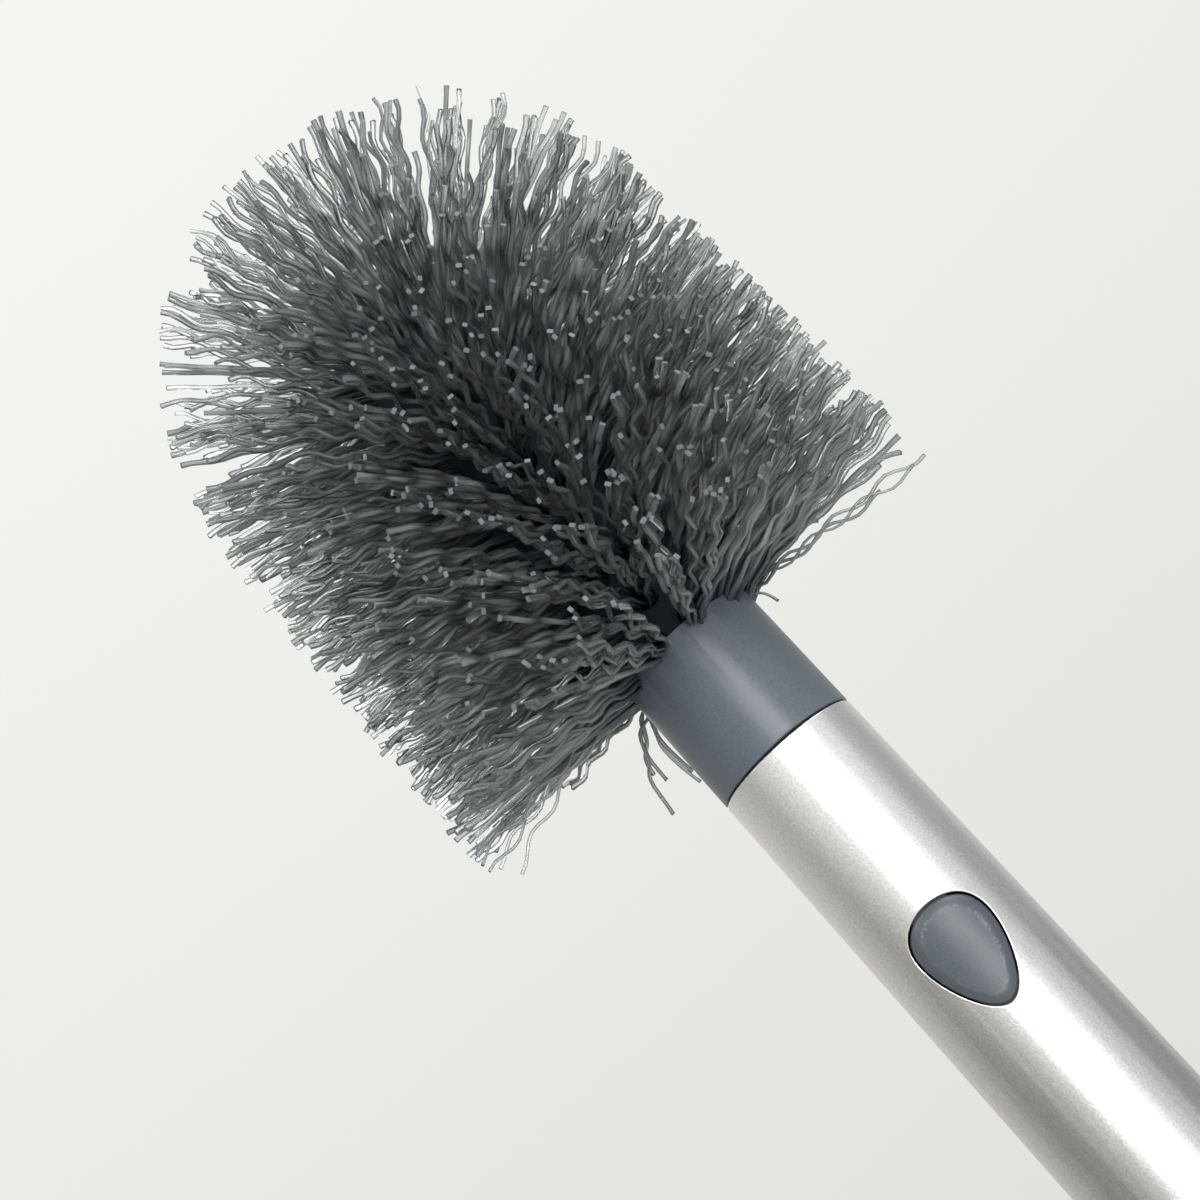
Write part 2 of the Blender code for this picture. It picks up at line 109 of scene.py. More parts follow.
# Collar and core
ROWS = 9
ROW_PITCH = 6.6 * MM
TUFTS_PER_ROW = 10
FIRST_TUFT_TURN = math.radians(18)  # from -Y
FIRST_ROW_Z = COLLAR_HIGH + SEAM_GAP + (ROW_PITCH - SEAM_GAP) / 2
NOSE_Z = NOSE_TIP - 40.3 * MM
HOLE_RADIUS = 2.2 * MM
HOLE_DEPTH = 4.5 * MM
CORE_RADIUS = 10.86 * MM
CORE_STEP = 0.06 * MM
SLEEVE_WALL = 1.3 * MM
SLEEVE_EDGE = 0.28 * MM
NOSE_RINGS = ((math.radians(60), 10), (math.radians(31), 6), (0.0, 1))  # (from the axis, tufts)

# Filaments
HEAD_RADIUS = 42.0 * MM
FILAMENTS = 19  # to a tuft
NOSE_FILAMENTS = 22
FILAMENT_RADII = (0.33 * MM, 0.47 * MM)  # over the corners of its flat four-sided tube
CUT_FLARE = 1.12  # the cutter spreads a filament's end
STATIONS = 22  # cross-sections of a filament
SHARES = np.linspace(0, 1, STATIONS) ** 0.85  # shares of a filament's length where it bends
ROOT_RADIUS = 1.72 * MM  # of a tuft in its hole
ROOT_DEPTH = 3.2 * MM
FAN_SIDE = 13.0 * MM  # how far a tuft's tips spread, half across, round the head
FAN_UP = 4.6 * MM  # and along it
FIRST_FAN_UP = 3.0 * MM  # the collar holds the first ring in
NOSE_FAN = 13.5 * MM
CLUMPS = 7
CLUMP_SPOT = 0.76  # how far out in the tuft the clumps' middles are, as a share
CLUMP_PULL = 0.78  # how far the filaments of a clump draw together, as a share
CLUMP_STRAY = 1.1 * MM
FILAMENT_STRAY = 0.55 * MM
FRONT_LEAN = 7.6 * MM  # how far the tips of the last row lean towards the nose
REAR_LEAN = (3.8 * MM, -7.8 * MM, 3.5 * MM, 3.5 * MM)  # pushed over by use: mean, front, +X, front and back
CRIMP = 0.55 * MM  # half the height of its waves
CRIMP_PITCH = 7.9 * MM
CRIMP_GROWTH = 7.0 * MM  # the crimp is pressed out of the roots over this length
CRIMP_PITCH_SPREAD = 0.05
CRIMP_SIZE_SPREAD = 0.2
CLUMP_BEND, FILAMENT_BEND = 0.9, 0.3  # how the crimp's plane differs from clump to clump and within one
FILAMENT_PHASE = 0.45
DRIFT = 1.0 * MM  # how far a tip strays from a straight line
TRIM = 0.7 * MM  # how unevenly the tips are cut
SHORT_SHARE, SHORT_POWER = 0.16, 6  # a few filaments are cut up to this share too short
FAN_POWER = 0.97  # below 1 a tuft opens sooner than a cone
EARLY_POWER = 0.55  # the same for a lean that begins at the roots
SEED = 12

# Loose filaments of the first ring
STRAYS = (  # (turn of the root, tip's radius, tip's turn, tip's rise from the ring, crimp's start, shade)
    (90, 41.5, 80, -4.0, 0.0, 0.6),
    (90, 39.4, 80, -4.8, 0.5, 0.5),
    (90, 34.0, 86, -3.2, 0.3, 0.2),
    (90, 13.8, 87, -3.6, 0.2, 0.0),
    (-126, 30.0, -141, -10.8, 0.0, 0.1),
    (-126, 29.0, -146, -5.9, 0.3, 0.0),
    (-126, 24.0, -149, -10.6, 0.6, 0.2),
    (-126, 20.0, -143, -9.7, 0.1, 0.1),
    (-126, 17.0, -147, -7.0, 0.8, 0.0),
    (-126, 25.0, -138, -6.0, 0.5, 0.2),
    (-90, 41.0, -80, -7.2, 0.4, 0.3),
    (-90, 40.0, -84, -6.0, 0.0, 0.5),
    (-90, 41.5, -77, -5.4, 0.7, 0.2),
    (-90, 38.5, -88, -8.0, 0.2, 0.4),
)
STRAY_LEAD = 0.42  # how far a loose filament keeps the hole's direction
STRAY_CRIMP = 0.65 * MM
STRAY_SIZE = 0.78

ROUND_STEPS = 160
EGG_STEPS = 96
ROUND_SAG = 0.0075 * MM  # how far the flats and eased edges of a turned body lie off its round
PEG_STEPS = 24
MERGE = 0.001 * MM
SHARP = math.radians(32)  # between faces that meet at a sharp edge
TUBE_SHARP = math.radians(24)
BUTTON_SHARP = math.radians(50)


def linear(*rgb):
    """A colour given as 0 to 255 display values."""
    return tuple((c / 255 / 12.92) if c <= 10 else ((c / 255 + 0.055) / 1.055) ** 2.4 for c in rgb) + (1,)


# Colours
# painted shade on the button's rounded rim
RIM_PAINTED_SHADE = linear(68, 75, 82)
WORN_SLATE = linear(158, 165, 168)
# The root tone is the filament's grey darkened by painted shade, for the shade deep in the head.
ROOT_TONE_AND_SHADE, SOLID_TONE, CLEAR_TONE = linear(58, 66, 73), linear(126, 133, 136), linear(226, 228, 227)
SOLID_SPAN = (0.1, 0.58)  # shares of a filament between which the painted shade at its roots gives way to its paler solid tone
CLEAR_SPAN = (0.24, 0.68)  # shares of a filament between which it turns clear
CLEAR_LEAST, CLEAR_MOST = 0.55, 1.0  # how clear the tips are, by the filament's shade
EDGE_SHADE_SPAN = (0.12, 0.45)  # how far a clear filament's surface turns away where painted shade darkens its edges
# the colour of the painted shade at a clear filament's edges
EDGE_PAINTED_SHADE = (0.34, 0.35, 0.37, 1)
DARK_FILAMENT, PALE_FILAMENT = (0.66, 0.68, 0.7, 1), (1.14, 1.14, 1.13, 1)  # what its tone is multiplied by
CUT_TONES = (linear(66, 74, 78), linear(102, 110, 113))
ALUMINIUM_TONES = ((0.66, 0.66, 0.655, 1), (0.86, 0.86, 0.85, 1))
STEEL_TONES = ((0.5, 0.5, 0.52, 1), (0.7, 0.7, 0.72, 1))
RELIEF = 0.02 * MM  # the depth of the metal's grain and of the moulds' spark texture


def new_material(name, roughness, metallic=0.0):
    """A new material with its node tree and shader."""
    material = bpy.data.materials.new(name)
    material.use_nodes = True
    shader = material.node_tree.nodes["Principled BSDF"]
    shader.inputs["Roughness"].default_value = roughness
    shader.inputs["Metallic"].default_value = metallic
    return material, material.node_tree, shader


def node(tree, kind, **values):
    """A new node with its properties set."""
    made = tree.nodes.new(kind)
    for key, value in values.items():
        setattr(made, key, value)
    return made


def object_noise(tree, scale, stretch=(1, 1, 1), detail=3.0):
    """Noise in the piece's own place, drawn out along an axis by a stretch."""
    place = node(tree, "ShaderNodeTexCoord")
    mapping = node(tree, "ShaderNodeMapping")
    mapping.inputs["Scale"].default_value = stretch
    noise = node(tree, "ShaderNodeTexNoise")
    noise.inputs["Scale"].default_value = scale
    noise.inputs["Detail"].default_value = detail
    tree.links.new(place.outputs["Object"], mapping.inputs["Vector"])
    tree.links.new(mapping.outputs["Vector"], noise.inputs["Vector"])
    return noise.outputs["Fac"]


def spread(tree, source, low, high, from_low=0.3, from_high=0.7):
    """A value carried from one range to another."""
    ramp = node(tree, "ShaderNodeMapRange")
    tree.links.new(source, ramp.inputs["Value"])
    ramp.inputs["From Min"].default_value = from_low
    ramp.inputs["From Max"].default_value = from_high
    ramp.inputs["To Min"].default_value = low
    ramp.inputs["To Max"].default_value = high
    return ramp.outputs["Result"]


def two_tone(tree, factor, first, second):
    """A mix of two colours, each a value or another node's colour."""
    mix = node(tree, "ShaderNodeMix", data_type="RGBA")
    tree.links.new(factor, mix.inputs["Factor"])
    for side, tone in (("A", first), ("B", second)):
        if isinstance(tone, bpy.types.NodeSocket):
            tree.links.new(tone, mix.inputs[side])
        else:
            mix.inputs[side].default_value = tone
    return mix.outputs["Result"]


def worked(tree, operation, first, second):
    """The result of a sum on two values, each a number or another node's value."""
    made = node(tree, "ShaderNodeMath", operation=operation)
    for socket, value in zip(made.inputs, (first, second)):
        if isinstance(value, bpy.types.NodeSocket):
            tree.links.new(value, socket)
        else:
            socket.default_value = value
    return made.outputs["Value"]


def attribute(tree, name):
    """A value that the mesh carries."""
    return node(tree, "ShaderNodeAttribute", attribute_name=name).outputs["Fac"]


def tinted(tree, colour, tint):
    """One colour multiplied by another."""
    mix = node(tree, "ShaderNodeMix", data_type="RGBA", blend_type="MULTIPLY")
    mix.inputs["Factor"].default_value = 1.0
    tree.links.new(colour, mix.inputs["A"])
    tree.links.new(tint, mix.inputs["B"])
    return mix.outputs["Result"]


def bumped(tree, shader, height, strength, distance):
    """A fine relief from a height."""
    bump = node(tree, "ShaderNodeBump")
    bump.inputs["Strength"].default_value = strength
    bump.inputs["Distance"].default_value = distance
    tree.links.new(height, bump.inputs["Height"])
    tree.links.new(bump.outputs["Normal"], shader.inputs["Normal"])


def satin_metal():
    """Satin aluminium: a fine grain with faint draw lines along the tube."""
    material, tree, shader = new_material("satin aluminium", 0.3, 1.0)
    grain = object_noise(tree, 4200, (1, 1, 0.7), 1.0)
    lines = object_noise(tree, 900, (1, 1, 0.012), 4.0)
    tone = worked(tree, "ADD", spread(tree, grain, -0.4, 0.4), spread(tree, lines, 0.42, 0.58))
    tree.links.new(two_tone(tree, tone, *ALUMINIUM_TONES), shader.inputs["Base Color"])
    tree.links.new(spread(tree, lines, 0.26, 0.34), shader.inputs["Roughness"])
    bumped(tree, shader, grain, 0.7, RELIEF)
    return material


def moulded_plastic(name, dark, light, roughness, worn=False, gloss=0.5):
    """Moulded plastic with a fine spark texture and a cloudy tone; on the button, with painted shade on its
    rim and paler where the rim is worn.
    """
    material, tree, shader = new_material(name, roughness)
    shader.inputs["Specular IOR Level"].default_value = gloss
    clouds = object_noise(tree, 160, detail=5.0)
    texture = object_noise(tree, 3600, detail=2.0)
    tone = worked(tree, "ADD", spread(tree, clouds, 0, 0.6), spread(tree, texture, -0.5, 0.9))
    colour = two_tone(tree, tone, dark, light)
    if worn:
        # painted shade: the button's rim is darkened towards its outline
        colour = two_tone(tree, attribute(tree, "rim"), colour, RIM_PAINTED_SHADE)
        chips = spread(tree, object_noise(tree, 2600, detail=4.0), 0, 1, 0.42, 0.66)
        patches = spread(tree, object_noise(tree, 420, detail=2.0), 0.1, 0.6, 0.42, 0.54)
        rubbed = worked(tree, "MULTIPLY", chips, patches)
        amount = worked(tree, "MULTIPLY", attribute(tree, "wear"), rubbed)
        colour = two_tone(tree, amount, colour, WORN_SLATE)
    tree.links.new(colour, shader.inputs["Base Color"])
    tree.links.new(spread(tree, texture, roughness - 0.05, roughness + 0.07), shader.inputs["Roughness"])
    bumped(tree, shader, texture, 0.5, RELIEF)
    return material


def strip_steel():
    """Rolled strip steel with faint lines along it."""
    material, tree, shader = new_material("rolled spring steel", 0.25, 1.0)
    lines = object_noise(tree, 2500, (1, 1, 0.05), 3.0)
    tree.links.new(two_tone(tree, spread(tree, lines, 0, 1), *STEEL_TONES), shader.inputs["Base Color"])
    tree.links.new(spread(tree, lines, 0.2, 0.32), shader.inputs["Roughness"])
    return material


def filament_plastic():
    """Smoky monofilament: solid dark grey at the roots, which holds painted shade, clearer towards the tips,
    and darker at its edges, which is painted shade.
    """
    material, tree, shader = new_material("filament", 0.1)
    shader.inputs["IOR"].default_value = 1.5
    along = attribute(tree, "along")
    shade = attribute(tree, "shade")
    clearness = spread(tree, shade, CLEAR_LEAST, CLEAR_MOST, 0.1, 0.75)
    passed = worked(tree, "MULTIPLY", spread(tree, along, 0, 1, *CLEAR_SPAN), clearness)
    tree.links.new(passed, shader.inputs["Transmission Weight"])
    # painted shade: the solid tone is darker towards the roots
    solid = two_tone(tree, spread(tree, along, 0, 1, *SOLID_SPAN), ROOT_TONE_AND_SHADE, SOLID_TONE)
    colour = two_tone(tree, passed, solid, CLEAR_TONE)
    # painted shade: the clear part of a filament is darkened where its surface turns away from the camera
    outline = node(tree, "ShaderNodeLayerWeight")
    edges = worked(tree, "MULTIPLY", spread(tree, outline.outputs["Facing"], 0, 1, *EDGE_SHADE_SPAN), passed)
    colour = tinted(tree, colour, two_tone(tree, edges, (1, 1, 1, 1), EDGE_PAINTED_SHADE))
    tones = two_tone(tree, shade, DARK_FILAMENT, PALE_FILAMENT)
    tree.links.new(tinted(tree, colour, tones), shader.inputs["Base Color"])
    return material


def cut_end_plastic():
    """The pale square-cut end of a filament."""
    material, tree, shader = new_material("filament cut end", 0.5)
    colour = two_tone(tree, attribute(tree, "shade"), *CUT_TONES)
    tree.links.new(colour, shader.inputs["Base Color"])
    return material


SATIN = satin_metal()
SLATE = moulded_plastic("slate plastic", linear(82, 91, 98), linear(92, 101, 109), 0.36)
BUTTON_SLATE = moulded_plastic("button plastic", linear(69, 77, 83), linear(80, 87, 92), 0.4, worn=True)
DARK = moulded_plastic("dark plastic", linear(44, 47, 50), linear(52, 55, 58), 0.48)
# The core's slate is darkened by painted shade, for the shade that the filaments cast on it.
CORE_SLATE_AND_SHADE = moulded_plastic("core plastic with painted shade", linear(14, 22, 30), linear(21, 30, 38), 0.7, gloss=0.15)
STEEL = strip_steel()
FILAMENT = filament_plastic()
CUT_END = cut_end_plastic()


def add_piece(name, bm, looks, body, stands_for=()):
    """A finished piece from a bmesh, riding on its body, with its place in its mesh."""
    mesh = bpy.data.meshes.new(name)
    bm.to_mesh(mesh)
    bm.free()
    for look in looks:
        mesh.materials.append(look)
    piece = bpy.data.objects.new(name, mesh)
    bpy.context.scene.collection.objects.link(piece)
    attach(piece, body)
    if stands_for:
        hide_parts(*stands_for)
    return piece


def smooth(piece, angle=SHARP):
    """Smooth shading up to an angle between faces."""
    piece.data.shade_smooth()
    piece.data.set_sharp_from_angle(angle=angle)


def turned(profile, steps=ROUND_STEPS):
    """A body turned round Z from a closed run of (radius, height) corners."""
    bm = bmesh.new()
    corners = [bm.verts.new((radius, 0, height)) for radius, height in profile]
    ends = corners[1:] if min(profile[0][0], profile[-1][0]) == 0 else corners[1:] + corners[:1]
    edges = [bm.edges.new(pair) for pair in zip(corners, ends)]
    bmesh.ops.spin(
        bm, geom=corners + edges, cent=(0, 0, 0), axis=(0, 0, 1),
        angle=2 * math.pi, steps=steps, use_merge=True,
    )
    bmesh.ops.remove_doubles(bm, verts=bm.verts, dist=MERGE)
    bmesh.ops.recalc_face_normals(bm, faces=bm.faces)
    return bm


def rounded(centre, radius, start, end, steps=5):
    """Points on an arc, in the plane of radius and height, between two angles in degrees."""
    points = []
    for step in range(steps + 1):
        angle = math.radians(start + (end - start) * step / steps)
        points.append((centre[0] + radius * math.cos(angle), centre[1] + radius * math.sin(angle)))
    return points


def egg_outline(inset):
    """Points (x, z) of the button's outline, drawn in by an inset, with the broad end up."""
    side = (BUTTON_WIDTH / 2 - inset) * math.sqrt(1 - BUTTON_TAPER**2)
    half_length = BUTTON_LENGTH / 2 - inset
    points = []
    for step in range(EGG_STEPS):
        turn = 2 * math.pi * step / EGG_STEPS
        across = side * math.sin(turn) / (1 - BUTTON_TAPER * math.cos(turn))
        points.append((across, half_length * math.cos(turn)))
    return points


def lofted(outlines):
    """A closed body through a row of outlines, with both ends filled."""
    bm = bmesh.new()
    loops = []
    for points in outlines:
        corners = [bm.verts.new(point) for point in points]
        loops.append([bm.edges.new(pair) for pair in zip(corners, corners[1:] + corners[:1])])
    for near, far in zip(loops, loops[1:]):
        bmesh.ops.bridge_loops(bm, edges=near + far)
    for end in (loops[0], loops[-1]):
        bmesh.ops.contextual_create(bm, geom=end)
    bmesh.ops.recalc_face_normals(bm, faces=bm.faces)
    return bm


def carve(piece, cutter_bm, operation="DIFFERENCE"):
    """Cut a shape out of a piece, or join one to it, and leave only the result."""
    cutter = bpy.data.objects.new("cutter", bpy.data.meshes.new("cutter"))
    cutter_bm.to_mesh(cutter.data)
    cutter_bm.free()
    bpy.context.scene.collection.objects.link(cutter)
    cut = piece.modifiers.new("cut", "BOOLEAN")
    cut.object = cutter
    cut.solver = "EXACT"
    cut.operation = operation
    bpy.context.view_layer.update()
    graph = bpy.context.evaluated_depsgraph_get()
    mesh = bpy.data.meshes.new_from_object(piece.evaluated_get(graph))
    piece.modifiers.remove(cut)
    piece.data = mesh
    bpy.data.objects.remove(cutter)


def make_tube():
    """The handle's tube, with eased ends and the hole for the button."""
    low, top, inside = TUBE_LOW, TUBE_TOP, TUBE_RADIUS - TUBE_WALL
    edge = TUBE_EDGE
    profile = [
        (inside, low),
        *rounded((TUBE_RADIUS - edge, low + edge), edge, -90, 0, 6),
        (TUBE_RADIUS, BUTTON_Z - HOLE_BAND),
        (TUBE_RADIUS, BUTTON_Z + HOLE_BAND),
        *rounded((TUBE_RADIUS - edge, top - edge), edge, 0, 90, 6),
        (inside, top),
        (inside, BUTTON_Z + HOLE_BAND),
        (inside, BUTTON_Z - HOLE_BAND),
    ]
    tube = add_piece("tube_shell", turned(profile), [SATIN], "handle", ["handle_tube"])
    carve(tube, eased_hole())
    smooth(tube, TUBE_SHARP)
    round_normals(tube)


def eased_hole():
    """The shape cut out for the button, with a round flare where it leaves the tube."""

    def points(inset, depth):
        return [(x, depth(x), BUTTON_Z + z) for x, z in egg_outline(inset)]

    outlines = [points(-BUTTON_HOLE_GAP, lambda x: -TUBE_RADIUS / 2)]
    for turn in range(0, 91, 15):
        flare = BUTTON_HOLE_EDGE * (1 - math.cos(math.radians(turn)))
        radius = TUBE_RADIUS - BUTTON_HOLE_EDGE * (1 - math.sin(math.radians(turn)))
        outlines.append(points(-BUTTON_HOLE_GAP - flare, lambda x: -math.sqrt(radius**2 - x**2)))
    outlines.append(points(-BUTTON_HOLE_GAP - BUTTON_HOLE_EDGE, lambda x: -2 * TUBE_RADIUS))
    return lofted(outlines)


def round_normals(tube):
    """Exact round normals on the tube's outside, so that the hole leaves no mark in its shine."""
    mesh = tube.data
    normals = []
    for loop in mesh.loops:
        place = mesh.vertices[loop.vertex_index].co
        outside = abs(place.xy.length - TUBE_RADIUS) < ROUND_SAG
        normals.append((place.x, place.y, 0) if outside else (0, 0, 0))
    mesh.normals_split_custom_set([Vector(normal).normalized() for normal in normals])


def make_end_cap():
    """The cap on the tube's far end, with its plug in the tube."""
    top = TUBE_LOW - SEAM_GAP
    plug_outside = TUBE_RADIUS - TUBE_WALL - SEAM_GAP
    plug_inside = TUBE_RADIUS - TUBE_WALL - CAP_WALL
    profile = [
        (0, CAP_LOW),
        (TUBE_RADIUS - CAP_FILLET, CAP_LOW),
        *rounded((TUBE_RADIUS - CAP_FILLET, CAP_LOW + CAP_FILLET), CAP_FILLET, -90, 0, 10),
        *rounded((TUBE_RADIUS - CAP_EDGE, top - CAP_EDGE), CAP_EDGE, 0, 90, 4),
        (plug_outside, top),
        (plug_outside, top + CAP_PLUG),
        (plug_inside, top + CAP_PLUG),
        (plug_inside, CAP_LOW + CAP_FLOOR),
        (0, CAP_LOW + CAP_FLOOR),
    ]
    cap = add_piece("foot_cap", turned(profile), [SLATE], "handle", ["end_cap"])
    smooth(cap)


def block(low, high):
    """A closed box between two corners."""
    bm = bmesh.new()
    low, high = Vector(low), Vector(high)
    fit = Matrix.Translation((low + high) / 2) @ Matrix.Diagonal((*(high - low), 1))
    bmesh.ops.create_cube(bm, size=1, matrix=fit)
    return bm


def make_button():
    """The egg-shaped cap: skirt, worn rim with painted shade, and crowned face, with its lips and stem
    behind.
    """

    def ring(inset, drop):
        points = egg_outline(inset)
        return [(x, drop - math.sqrt(BUTTON_CROWN**2 - x**2), BUTTON_Z + z) for x, z in points]

    skirt = [(x, BUTTON_SKIRT - BUTTON_CROWN, BUTTON_Z + z) for x, z in egg_outline(0)]
    outlines = [skirt]
    outlines += [ring(inset * MM, drop * MM) for inset, drop in BUTTON_RIM]
    outlines += [ring(inset * MM, 0) for inset in FACE_INSETS]
    bm = lofted(outlines)
    wear = bm.verts.layers.float.new("wear")
    rim = bm.verts.layers.float.new("rim")
    bm.verts.ensure_lookup_table()
    insets = [0] + [inset for inset, _ in BUTTON_RIM] + list(FACE_INSETS)
    for index, vert in enumerate(bm.verts):
        inset = insets[index // EGG_STEPS]
        turn = 2 * math.pi * (index % EGG_STEPS) / EGG_STEPS
        thumb = ((1 + math.sin(turn + WEAR_AND_SHADE_TURN)) / 2) ** 0.7
        worn_and_shaded_side = WEAR_AND_SHADE_LEAST + (1 - WEAR_AND_SHADE_LEAST) * thumb
        vert[wear] = worn_and_shaded_side * max(0.0, 1 - abs(inset - WEAR_INSET) / WEAR_HALF)
        # the rim's painted shade, weighted by the same side as the wear
        vert[rim] = worn_and_shaded_side * min(1.0, max(0.0, (WEAR_INSET - inset) / RIM_FADE))
    button = add_piece("button_cap", bm, [BUTTON_SLATE], "button", ["release_button"])
    back = BUTTON_SKIRT - BUTTON_CROWN
    lip = BUTTON_LENGTH / 2 + LIP_REACH
    inner = TUBE_RADIUS - TUBE_WALL - SEAM_GAP
    front = -math.sqrt(inner**2 - (LIP_WIDTH / 2) ** 2)
    sides = (-LIP_WIDTH / 2, LIP_WIDTH / 2)
    carve(button, block((sides[0], front, BUTTON_Z - lip), (sides[1], back, BUTTON_Z + lip)), "UNION")
    stem_low, stem_high = BUTTON_Z + STEM_LOW, BUTTON_Z + STEM_HIGH
    stem = block(
        (-STEM_WIDTH / 2, back - SEAM_GAP, stem_low), (STEM_WIDTH / 2, BUTTON_HIGH.y, stem_high)
    )
    carve(button, stem, "UNION")
    smooth(button, BUTTON_SHARP)


def hole_pegs():
    """A peg for each tuft hole of the rows."""
    bm = bmesh.new()
    for index in range(ROWS):
        for tuft in range(TUFTS_PER_ROW):
            angle, z = tuft_place(index, tuft)
            out = Vector((math.sin(angle), -math.cos(angle), 0))
            turn = out.to_track_quat("Z", "X").to_matrix().to_4x4()
            middle = out * (TUBE_RADIUS + HOLE_RADIUS / 2 - HOLE_DEPTH / 2) + Vector((0, 0, z))
            bmesh.ops.create_cone(
                bm, cap_ends=True, segments=PEG_STEPS, radius1=HOLE_RADIUS, radius2=HOLE_RADIUS,
                depth=HOLE_DEPTH + HOLE_RADIUS, matrix=Matrix.Translation(middle) @ turn,
            )
    return bm


def tuft_place(index, tuft):
    """The turn from -Y and the height of a tuft's hole."""
    step = 2 * math.pi / TUFTS_PER_ROW
    return FIRST_TUFT_TURN + step * (tuft + index % 2 / 2), FIRST_ROW_Z + index * ROW_PITCH


def make_sleeve():
    """The collar: flush with the tube, and notched at its end by the first ring of holes."""
    inside = TUBE_RADIUS - SLEEVE_WALL
    bore = SHANK_RADIUS + SEAM_GAP
    edge = SLEEVE_EDGE
    profile = [
        (bore, COLLAR_LOW),
        *rounded((TUBE_RADIUS - edge, COLLAR_LOW + edge), edge, -90, 0, 4),
        *rounded((TUBE_RADIUS - edge / 2, FIRST_ROW_Z - edge / 2), edge / 2, 0, 90, 3),
        (inside, FIRST_ROW_Z),
        (inside, SHANK_TOP),
        (bore, SHANK_TOP),
    ]
    sleeve = add_piece("collar_sleeve", turned(profile), [SLATE], "head", ["collar"])
    carve(sleeve, hole_pegs())
    smooth(sleeve)


def make_core():
    """The moulded core with its tuft holes and domed nose, in a slate darkened by painted shade."""
    inside = TUBE_RADIUS - SLEEVE_WALL - CORE_STEP
    profile = [
        (0, SHANK_TOP + SEAM_GAP),
        (inside, SHANK_TOP + SEAM_GAP),
        (inside, FIRST_ROW_Z + CORE_STEP),
        (CORE_RADIUS, FIRST_ROW_Z + CORE_STEP),
        *rounded((0, NOSE_Z), CORE_RADIUS, 0, 90, 12),
    ]
    core = add_piece("core_body", turned(profile), [CORE_SLATE_AND_SHADE], "head", ["brush_core"])
    carve(core, hole_pegs())
    smooth(core)


def envelope_reach(start, direction, radius):
    """How far from each start along its direction the trimmed surface of the head lies."""
    a = (direction[:, :2] ** 2).sum(1)
    b = (start[:, :2] * direction[:, :2]).sum(1)
    c = (start[:, :2] ** 2).sum(1) - radius**2
    reach = (-b + np.sqrt(np.maximum(b * b - a * c, 0))) / np.maximum(a, 1e-9)
    past = start[:, 2] + reach * direction[:, 2] > NOSE_Z
    from_centre = start - (0, 0, NOSE_Z)
    b = (from_centre * direction).sum(1)
    c = (from_centre**2).sum(1) - radius**2
    dome = -b + np.sqrt(np.maximum(b * b - c, 0))
    return np.where(past | (a < 1e-6), dome, reach)


def unit(vectors):
    """The same directions with a length of one."""
    return vectors / np.maximum(np.linalg.norm(vectors, axis=-1, keepdims=True), 1e-12)


def tuft_paths(rng, root, out, up, lean, count, fan_side, fan_up, early=0):
    """Centre lines of a tuft's filaments, as (filament, station, xyz), and each one's cross direction.

    The lean begins at the roots by the early share, and grows along the filaments otherwise.
    """
    root, out, up = np.array(root), np.array(out), np.array(up)
    side = np.cross(up, out)
    ring = np.sqrt((np.arange(count) + 0.5) / count)
    golden = np.arange(count) * math.pi * (3 - math.sqrt(5)) + rng.uniform(0, 2 * math.pi)
    disc = np.stack([ring * np.cos(golden), ring * np.sin(golden)], 1)

    # Filaments of a tuft draw together in a few clumps, and those of a clump wave together
    clump_turn = np.arange(CLUMPS) * 2 * math.pi / CLUMPS + rng.uniform(0, 2 * math.pi)
    centres = CLUMP_SPOT * np.stack([np.cos(clump_turn), np.sin(clump_turn)], 1)
    centres[0] = 0
    clump = np.argmin(((disc[:, None] - centres) ** 2).sum(2), 1)
    spot = disc + CLUMP_PULL * (centres[clump] - disc)
    stray = rng.normal(0, CLUMP_STRAY, (CLUMPS, 2))[clump] + rng.normal(0, FILAMENT_STRAY, (count, 2))
    far = spot * (fan_side, fan_up) + stray + (0, lean)

    start = root - out * ROOT_DEPTH + ROOT_RADIUS * (disc[:, :1] * side + disc[:, 1:] * up)
    aim = root + out * (HEAD_RADIUS - TUBE_RADIUS) + far[:, :1] * side + far[:, 1:] * up
    direction = unit(aim - start)
    radius = HEAD_RADIUS + rng.normal(0, TRIM, count).clip(-3 * TRIM, TRIM)
    reach = envelope_reach(start, direction, radius)
    reach = reach * (1 - SHORT_SHARE * rng.uniform(0, 1, count) ** SHORT_POWER)
    s = reach[:, None] * SHARES
    along = (direction @ out)[:, None] * out
    path = start[:, None] + s[..., None] * along[:, None]
    free = np.clip((s - ROOT_DEPTH) / (reach[:, None] - ROOT_DEPTH), 0, 1)
    fan = free**FAN_POWER
    path = path + (reach[:, None] * fan)[..., None] * (direction - along)[:, None]
    path = path + early * lean * (free**EARLY_POWER - fan)[..., None] * up

    grown = np.clip((s - ROOT_DEPTH) / CRIMP_GROWTH, 0, 1)
    bend_turn = rng.normal(0, CLUMP_BEND, CLUMPS)[clump] + rng.normal(0, FILAMENT_BEND, count)
    across = unit(np.cross(direction, up + 0.001))
    other = np.cross(direction, across)
    wave = np.cos(bend_turn)[:, None] * across + np.sin(bend_turn)[:, None] * other
    cross = np.cross(direction, wave)
    pitch = CRIMP_PITCH * (1 + rng.normal(0, CRIMP_PITCH_SPREAD, count))[:, None]
    phase = rng.uniform(0, 2 * math.pi, CLUMPS)[clump] + rng.normal(0, FILAMENT_PHASE, count)
    size = CRIMP * (1 + rng.normal(0, CRIMP_SIZE_SPREAD, count))[:, None]
    crimp = size * grown * np.sin(2 * math.pi * s / pitch + phase[:, None])
    drift = rng.normal(0, DRIFT, (2, count, 1)) * SHARES**2
    path = path + (crimp + drift[0])[..., None] * wave[:, None] + drift[1][..., None] * cross[:, None]
    return path, cross


